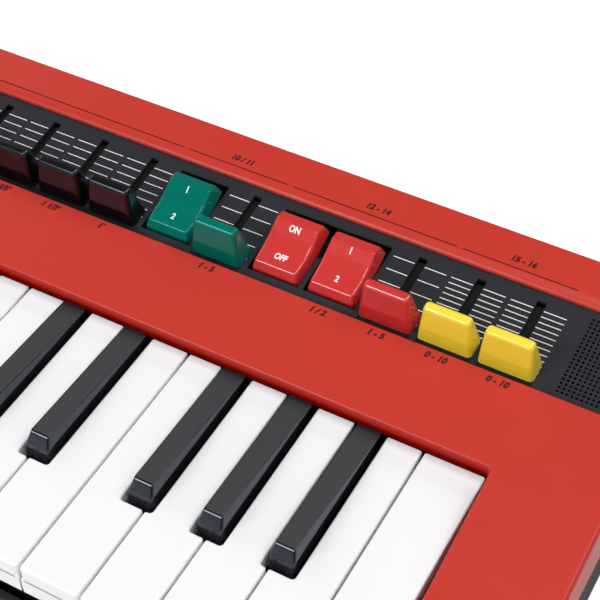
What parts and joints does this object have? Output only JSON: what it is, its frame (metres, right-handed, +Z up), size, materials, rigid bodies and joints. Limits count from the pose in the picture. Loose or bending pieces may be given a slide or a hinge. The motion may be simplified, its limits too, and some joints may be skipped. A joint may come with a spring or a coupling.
{
  "type": "combo organ",
  "caption": "Compact combo organ: small keys under a red case with a sunk black strip of sliding tone levers, rocker switches and speaker grilles.",
  "frame": {"origin": "on the table, under the middle of the organ", "axes": "+X to the player's right, +Y away from the player, +Z up"},
  "size_m": [0.53, 0.175, 0.0628],
  "materials": {
    "red_shell": "satin moulded plastic",
    "dark_base": "fine matt grain",
    "black_strip": "matt",
    "white_key": "gloss",
    "black_key": "matt top, glossier bevels",
    "black_cap": "gloss",
    "green_cap": "gloss",
    "red_cap": "gloss",
    "yellow_cap": "gloss"
  },
  "bodies": {
    "case": {"top_case": "red_shell", "bottom_case": "dark_base", "control_panel": "black_strip"},
    "white_key_01_c": {"white_key_01_c": "white_key"},
    "black_key_01_c_sharp": {"black_key_01_c_sharp": "black_key"},
    "white_key_02_d": {"white_key_02_d": "white_key"},
    "black_key_02_d_sharp": {"black_key_02_d_sharp": "black_key"},
    "white_key_03_e": {"white_key_03_e": "white_key"},
    "white_key_04_f": {"white_key_04_f": "white_key"},
    "black_key_03_f_sharp": {"black_key_03_f_sharp": "black_key"},
    "white_key_05_g": {"white_key_05_g": "white_key"},
    "black_key_04_g_sharp": {"black_key_04_g_sharp": "black_key"},
    "white_key_06_a": {"white_key_06_a": "white_key"},
    "black_key_05_a_sharp": {"black_key_05_a_sharp": "black_key"},
    "white_key_07_b": {"white_key_07_b": "white_key"},
    "white_key_08_c": {"white_key_08_c": "white_key"},
    "black_key_06_c_sharp": {"black_key_06_c_sharp": "black_key"},
    "white_key_09_d": {"white_key_09_d": "white_key"},
    "black_key_07_d_sharp": {"black_key_07_d_sharp": "black_key"},
    "white_key_10_e": {"white_key_10_e": "white_key"},
    "white_key_11_f": {"white_key_11_f": "white_key"},
    "black_key_08_f_sharp": {"black_key_08_f_sharp": "black_key"},
    "white_key_12_g": {"white_key_12_g": "white_key"},
    "black_key_09_g_sharp": {"black_key_09_g_sharp": "black_key"},
    "white_key_13_a": {"white_key_13_a": "white_key"},
    "black_key_10_a_sharp": {"black_key_10_a_sharp": "black_key"},
    "white_key_14_b": {"white_key_14_b": "white_key"},
    "white_key_15_c": {"white_key_15_c": "white_key"},
    "black_key_11_c_sharp": {"black_key_11_c_sharp": "black_key"},
    "white_key_16_d": {"white_key_16_d": "white_key"},
    "black_key_12_d_sharp": {"black_key_12_d_sharp": "black_key"},
    "white_key_17_e": {"white_key_17_e": "white_key"},
    "white_key_18_f": {"white_key_18_f": "white_key"},
    "black_key_13_f_sharp": {"black_key_13_f_sharp": "black_key"},
    "white_key_19_g": {"white_key_19_g": "white_key"},
    "black_key_14_g_sharp": {"black_key_14_g_sharp": "black_key"},
    "white_key_20_a": {"white_key_20_a": "white_key"},
    "black_key_15_a_sharp": {"black_key_15_a_sharp": "black_key"},
    "white_key_21_b": {"white_key_21_b": "white_key"},
    "white_key_22_c": {"white_key_22_c": "white_key"},
    "footage_lever_1": {"footage_lever_1": "black_cap"},
    "footage_lever_2": {"footage_lever_2": "black_cap"},
    "footage_lever_3": {"footage_lever_3": "black_cap"},
    "footage_lever_4": {"footage_lever_4": "black_cap"},
    "footage_lever_5": {"footage_lever_5": "black_cap"},
    "footage_lever_6": {"footage_lever_6": "black_cap"},
    "footage_lever_7": {"footage_lever_7": "black_cap"},
    "footage_lever_8": {"footage_lever_8": "black_cap"},
    "footage_lever_9": {"footage_lever_9": "black_cap"},
    "vibrato_depth_lever": {"vibrato_depth_lever": "green_cap"},
    "percussion_length_lever": {"percussion_length_lever": "red_cap"},
    "drive_lever": {"drive_lever": "yellow_cap"},
    "reverb_lever": {"reverb_lever": "yellow_cap"},
    "rotary_speaker_lever": {"rotary_speaker_lever": "black_cap"},
    "volume_lever": {"volume_lever": "black_cap"},
    "octave_lever": {"octave_lever": "black_cap"},
    "vibrato_rocker": {"vibrato_rocker": "green_cap"},
    "percussion_rocker": {"percussion_rocker": "red_cap"},
    "percussion_type_rocker": {"percussion_type_rocker": "red_cap"},
    "wave_selector_knob": {"wave_selector_knob": "black_cap"}
  },
  "joints": [
    {"name": "white_key_01_c_hinge", "type": "hinge", "parent": "case", "child": "white_key_01_c", "pos_m": [-0.21735, 0.046, 0.028], "axis": [1, 0, 0], "range_deg": [0, 2.8], "stiffness_Nm_per_rad": 0.5, "springref_deg": -7.45},
    {"name": "black_key_01_c_sharp_hinge", "type": "hinge", "parent": "case", "child": "black_key_01_c_sharp", "pos_m": [-0.2085, 0.046, 0.028], "axis": [1, 0, 0], "range_deg": [0, 2.8], "stiffness_Nm_per_rad": 0.5, "springref_deg": -7.45},
    {"name": "white_key_02_d_hinge", "type": "hinge", "parent": "case", "child": "white_key_02_d", "pos_m": [-0.19665, 0.046, 0.028], "axis": [1, 0, 0], "range_deg": [0, 2.8], "stiffness_Nm_per_rad": 0.5, "springref_deg": -7.45},
    {"name": "black_key_02_d_sharp_hinge", "type": "hinge", "parent": "case", "child": "black_key_02_d_sharp", "pos_m": [-0.1848, 0.046, 0.028], "axis": [1, 0, 0], "range_deg": [0, 2.8], "stiffness_Nm_per_rad": 0.5, "springref_deg": -7.45},
    {"name": "white_key_03_e_hinge", "type": "hinge", "parent": "case", "child": "white_key_03_e", "pos_m": [-0.17595, 0.046, 0.028], "axis": [1, 0, 0], "range_deg": [0, 2.8], "stiffness_Nm_per_rad": 0.5, "springref_deg": -7.45},
    {"name": "white_key_04_f_hinge", "type": "hinge", "parent": "case", "child": "white_key_04_f", "pos_m": [-0.15525, 0.046, 0.028], "axis": [1, 0, 0], "range_deg": [0, 2.8], "stiffness_Nm_per_rad": 0.5, "springref_deg": -7.45},
    {"name": "black_key_03_f_sharp_hinge", "type": "hinge", "parent": "case", "child": "black_key_03_f_sharp", "pos_m": [-0.1479, 0.046, 0.028], "axis": [1, 0, 0], "range_deg": [0, 2.8], "stiffness_Nm_per_rad": 0.5, "springref_deg": -7.45},
    {"name": "white_key_05_g_hinge", "type": "hinge", "parent": "case", "child": "white_key_05_g", "pos_m": [-0.13455, 0.046, 0.028], "axis": [1, 0, 0], "range_deg": [0, 2.8], "stiffness_Nm_per_rad": 0.5, "springref_deg": -7.45},
    {"name": "black_key_04_g_sharp_hinge", "type": "hinge", "parent": "case", "child": "black_key_04_g_sharp", "pos_m": [-0.1242, 0.046, 0.028], "axis": [1, 0, 0], "range_deg": [0, 2.8], "stiffness_Nm_per_rad": 0.5, "springref_deg": -7.45},
    {"name": "white_key_06_a_hinge", "type": "hinge", "parent": "case", "child": "white_key_06_a", "pos_m": [-0.11385, 0.046, 0.028], "axis": [1, 0, 0], "range_deg": [0, 2.8], "stiffness_Nm_per_rad": 0.5, "springref_deg": -7.45},
    {"name": "black_key_05_a_sharp_hinge", "type": "hinge", "parent": "case", "child": "black_key_05_a_sharp", "pos_m": [-0.1005, 0.046, 0.028], "axis": [1, 0, 0], "range_deg": [0, 2.8], "stiffness_Nm_per_rad": 0.5, "springref_deg": -7.45},
    {"name": "white_key_07_b_hinge", "type": "hinge", "parent": "case", "child": "white_key_07_b", "pos_m": [-0.09315, 0.046, 0.028], "axis": [1, 0, 0], "range_deg": [0, 2.8], "stiffness_Nm_per_rad": 0.5, "springref_deg": -7.45},
    {"name": "white_key_08_c_hinge", "type": "hinge", "parent": "case", "child": "white_key_08_c", "pos_m": [-0.07245, 0.046, 0.028], "axis": [1, 0, 0], "range_deg": [0, 2.8], "stiffness_Nm_per_rad": 0.5, "springref_deg": -7.45},
    {"name": "black_key_06_c_sharp_hinge", "type": "hinge", "parent": "case", "child": "black_key_06_c_sharp", "pos_m": [-0.0636, 0.046, 0.028], "axis": [1, 0, 0], "range_deg": [0, 2.8], "stiffness_Nm_per_rad": 0.5, "springref_deg": -7.45},
    {"name": "white_key_09_d_hinge", "type": "hinge", "parent": "case", "child": "white_key_09_d", "pos_m": [-0.05175, 0.046, 0.028], "axis": [1, 0, 0], "range_deg": [0, 2.8], "stiffness_Nm_per_rad": 0.5, "springref_deg": -7.45},
    {"name": "black_key_07_d_sharp_hinge", "type": "hinge", "parent": "case", "child": "black_key_07_d_sharp", "pos_m": [-0.0399, 0.046, 0.028], "axis": [1, 0, 0], "range_deg": [0, 2.8], "stiffness_Nm_per_rad": 0.5, "springref_deg": -7.45},
    {"name": "white_key_10_e_hinge", "type": "hinge", "parent": "case", "child": "white_key_10_e", "pos_m": [-0.03105, 0.046, 0.028], "axis": [1, 0, 0], "range_deg": [0, 2.8], "stiffness_Nm_per_rad": 0.5, "springref_deg": -7.45},
    {"name": "white_key_11_f_hinge", "type": "hinge", "parent": "case", "child": "white_key_11_f", "pos_m": [-0.01035, 0.046, 0.028], "axis": [1, 0, 0], "range_deg": [0, 2.8], "stiffness_Nm_per_rad": 0.5, "springref_deg": -7.45},
    {"name": "black_key_08_f_sharp_hinge", "type": "hinge", "parent": "case", "child": "black_key_08_f_sharp", "pos_m": [-0.003, 0.046, 0.028], "axis": [1, 0, 0], "range_deg": [0, 2.8], "stiffness_Nm_per_rad": 0.5, "springref_deg": -7.45},
    {"name": "white_key_12_g_hinge", "type": "hinge", "parent": "case", "child": "white_key_12_g", "pos_m": [0.01035, 0.046, 0.028], "axis": [1, 0, 0], "range_deg": [0, 2.8], "stiffness_Nm_per_rad": 0.5, "springref_deg": -7.45},
    {"name": "black_key_09_g_sharp_hinge", "type": "hinge", "parent": "case", "child": "black_key_09_g_sharp", "pos_m": [0.0207, 0.046, 0.028], "axis": [1, 0, 0], "range_deg": [0, 2.8], "stiffness_Nm_per_rad": 0.5, "springref_deg": -7.45},
    {"name": "white_key_13_a_hinge", "type": "hinge", "parent": "case", "child": "white_key_13_a", "pos_m": [0.03105, 0.046, 0.028], "axis": [1, 0, 0], "range_deg": [0, 2.8], "stiffness_Nm_per_rad": 0.5, "springref_deg": -7.45},
    {"name": "black_key_10_a_sharp_hinge", "type": "hinge", "parent": "case", "child": "black_key_10_a_sharp", "pos_m": [0.0444, 0.046, 0.028], "axis": [1, 0, 0], "range_deg": [0, 2.8], "stiffness_Nm_per_rad": 0.5, "springref_deg": -7.45},
    {"name": "white_key_14_b_hinge", "type": "hinge", "parent": "case", "child": "white_key_14_b", "pos_m": [0.05175, 0.046, 0.028], "axis": [1, 0, 0], "range_deg": [0, 2.8], "stiffness_Nm_per_rad": 0.5, "springref_deg": -7.45},
    {"name": "white_key_15_c_hinge", "type": "hinge", "parent": "case", "child": "white_key_15_c", "pos_m": [0.07245, 0.046, 0.028], "axis": [1, 0, 0], "range_deg": [0, 2.8], "stiffness_Nm_per_rad": 0.5, "springref_deg": -7.45},
    {"name": "black_key_11_c_sharp_hinge", "type": "hinge", "parent": "case", "child": "black_key_11_c_sharp", "pos_m": [0.0813, 0.046, 0.028], "axis": [1, 0, 0], "range_deg": [0, 2.8], "stiffness_Nm_per_rad": 0.5, "springref_deg": -7.45},
    {"name": "white_key_16_d_hinge", "type": "hinge", "parent": "case", "child": "white_key_16_d", "pos_m": [0.09315, 0.046, 0.028], "axis": [1, 0, 0], "range_deg": [0, 2.8], "stiffness_Nm_per_rad": 0.5, "springref_deg": -7.45},
    {"name": "black_key_12_d_sharp_hinge", "type": "hinge", "parent": "case", "child": "black_key_12_d_sharp", "pos_m": [0.105, 0.046, 0.028], "axis": [1, 0, 0], "range_deg": [0, 2.8], "stiffness_Nm_per_rad": 0.5, "springref_deg": -7.45},
    {"name": "white_key_17_e_hinge", "type": "hinge", "parent": "case", "child": "white_key_17_e", "pos_m": [0.11385, 0.046, 0.028], "axis": [1, 0, 0], "range_deg": [0, 2.8], "stiffness_Nm_per_rad": 0.5, "springref_deg": -7.45},
    {"name": "white_key_18_f_hinge", "type": "hinge", "parent": "case", "child": "white_key_18_f", "pos_m": [0.13455, 0.046, 0.028], "axis": [1, 0, 0], "range_deg": [0, 2.8], "stiffness_Nm_per_rad": 0.5, "springref_deg": -7.45},
    {"name": "black_key_13_f_sharp_hinge", "type": "hinge", "parent": "case", "child": "black_key_13_f_sharp", "pos_m": [0.1419, 0.046, 0.028], "axis": [1, 0, 0], "range_deg": [0, 2.8], "stiffness_Nm_per_rad": 0.5, "springref_deg": -7.45},
    {"name": "white_key_19_g_hinge", "type": "hinge", "parent": "case", "child": "white_key_19_g", "pos_m": [0.15525, 0.046, 0.028], "axis": [1, 0, 0], "range_deg": [0, 2.8], "stiffness_Nm_per_rad": 0.5, "springref_deg": -7.45},
    {"name": "black_key_14_g_sharp_hinge", "type": "hinge", "parent": "case", "child": "black_key_14_g_sharp", "pos_m": [0.1656, 0.046, 0.028], "axis": [1, 0, 0], "range_deg": [0, 2.8], "stiffness_Nm_per_rad": 0.5, "springref_deg": -7.45},
    {"name": "white_key_20_a_hinge", "type": "hinge", "parent": "case", "child": "white_key_20_a", "pos_m": [0.17595, 0.046, 0.028], "axis": [1, 0, 0], "range_deg": [0, 2.8], "stiffness_Nm_per_rad": 0.5, "springref_deg": -7.45},
    {"name": "black_key_15_a_sharp_hinge", "type": "hinge", "parent": "case", "child": "black_key_15_a_sharp", "pos_m": [0.1893, 0.046, 0.028], "axis": [1, 0, 0], "range_deg": [0, 2.8], "stiffness_Nm_per_rad": 0.5, "springref_deg": -7.45},
    {"name": "white_key_21_b_hinge", "type": "hinge", "parent": "case", "child": "white_key_21_b", "pos_m": [0.19665, 0.046, 0.028], "axis": [1, 0, 0], "range_deg": [0, 2.8], "stiffness_Nm_per_rad": 0.5, "springref_deg": -7.45},
    {"name": "white_key_22_c_hinge", "type": "hinge", "parent": "case", "child": "white_key_22_c", "pos_m": [0.21735, 0.046, 0.028], "axis": [1, 0, 0], "range_deg": [0, 2.8], "stiffness_Nm_per_rad": 0.5, "springref_deg": -7.45},
    {"name": "footage_lever_1_slide", "type": "slide", "parent": "case", "child": "footage_lever_1", "axis": [0, 0.9877, 0.1564], "range_m": [0, 0.0205]},
    {"name": "footage_lever_2_slide", "type": "slide", "parent": "case", "child": "footage_lever_2", "axis": [0, 0.9877, 0.1564], "range_m": [0, 0.0205]},
    {"name": "footage_lever_3_slide", "type": "slide", "parent": "case", "child": "footage_lever_3", "axis": [0, 0.9877, 0.1564], "range_m": [0, 0.0205]},
    {"name": "footage_lever_4_slide", "type": "slide", "parent": "case", "child": "footage_lever_4", "axis": [0, 0.9877, 0.1564], "range_m": [0, 0.0205]},
    {"name": "footage_lever_5_slide", "type": "slide", "parent": "case", "child": "footage_lever_5", "axis": [0, 0.9877, 0.1564], "range_m": [0, 0.0205]},
    {"name": "footage_lever_6_slide", "type": "slide", "parent": "case", "child": "footage_lever_6", "axis": [0, 0.9877, 0.1564], "range_m": [0, 0.0205]},
    {"name": "footage_lever_7_slide", "type": "slide", "parent": "case", "child": "footage_lever_7", "axis": [0, 0.9877, 0.1564], "range_m": [0, 0.0205]},
    {"name": "footage_lever_8_slide", "type": "slide", "parent": "case", "child": "footage_lever_8", "axis": [0, 0.9877, 0.1564], "range_m": [0, 0.0205]},
    {"name": "footage_lever_9_slide", "type": "slide", "parent": "case", "child": "footage_lever_9", "axis": [0, 0.9877, 0.1564], "range_m": [0, 0.0205]},
    {"name": "vibrato_depth_lever_slide", "type": "slide", "parent": "case", "child": "vibrato_depth_lever", "axis": [0, 0.9877, 0.1564], "range_m": [0, 0.0205]},
    {"name": "percussion_length_lever_slide", "type": "slide", "parent": "case", "child": "percussion_length_lever", "axis": [0, 0.9877, 0.1564], "range_m": [0, 0.0205]},
    {"name": "drive_lever_slide", "type": "slide", "parent": "case", "child": "drive_lever", "axis": [0, 0.9877, 0.1564], "range_m": [0, 0.0205]},
    {"name": "reverb_lever_slide", "type": "slide", "parent": "case", "child": "reverb_lever", "axis": [0, 0.9877, 0.1564], "range_m": [0, 0.0205]},
    {"name": "rotary_speaker_lever_slide", "type": "slide", "parent": "case", "child": "rotary_speaker_lever", "axis": [0, 0.9877, 0.1564], "range_m": [0, 0.0205]},
    {"name": "volume_lever_slide", "type": "slide", "parent": "case", "child": "volume_lever", "axis": [0, 0.9877, 0.1564], "range_m": [0, 0.0205]},
    {"name": "octave_lever_slide", "type": "slide", "parent": "case", "child": "octave_lever", "axis": [0, 0.9877, 0.1564], "range_m": [0, 0.0205]},
    {"name": "vibrato_rocker_hinge", "type": "hinge", "parent": "case", "child": "vibrato_rocker", "pos_m": [0.09542, 0.05046, 0.05042], "axis": [-1, 0, 0], "range_deg": [0, 31]},
    {"name": "percussion_rocker_hinge", "type": "hinge", "parent": "case", "child": "percussion_rocker", "pos_m": [0.13648, 0.05046, 0.05042], "axis": [-1, 0, 0], "range_deg": [0, 31]},
    {"name": "percussion_type_rocker_hinge", "type": "hinge", "parent": "case", "child": "percussion_type_rocker", "pos_m": [0.15701, 0.05046, 0.05042], "axis": [-1, 0, 0], "range_deg": [0, 31]},
    {"name": "wave_selector_knob_hinge", "type": "hinge", "parent": "case", "child": "wave_selector_knob", "pos_m": [-0.15095, 0.05231, 0.05025], "axis": [0, -0.1564, 0.9877], "range_deg": [-60, 60]}
  ]
}
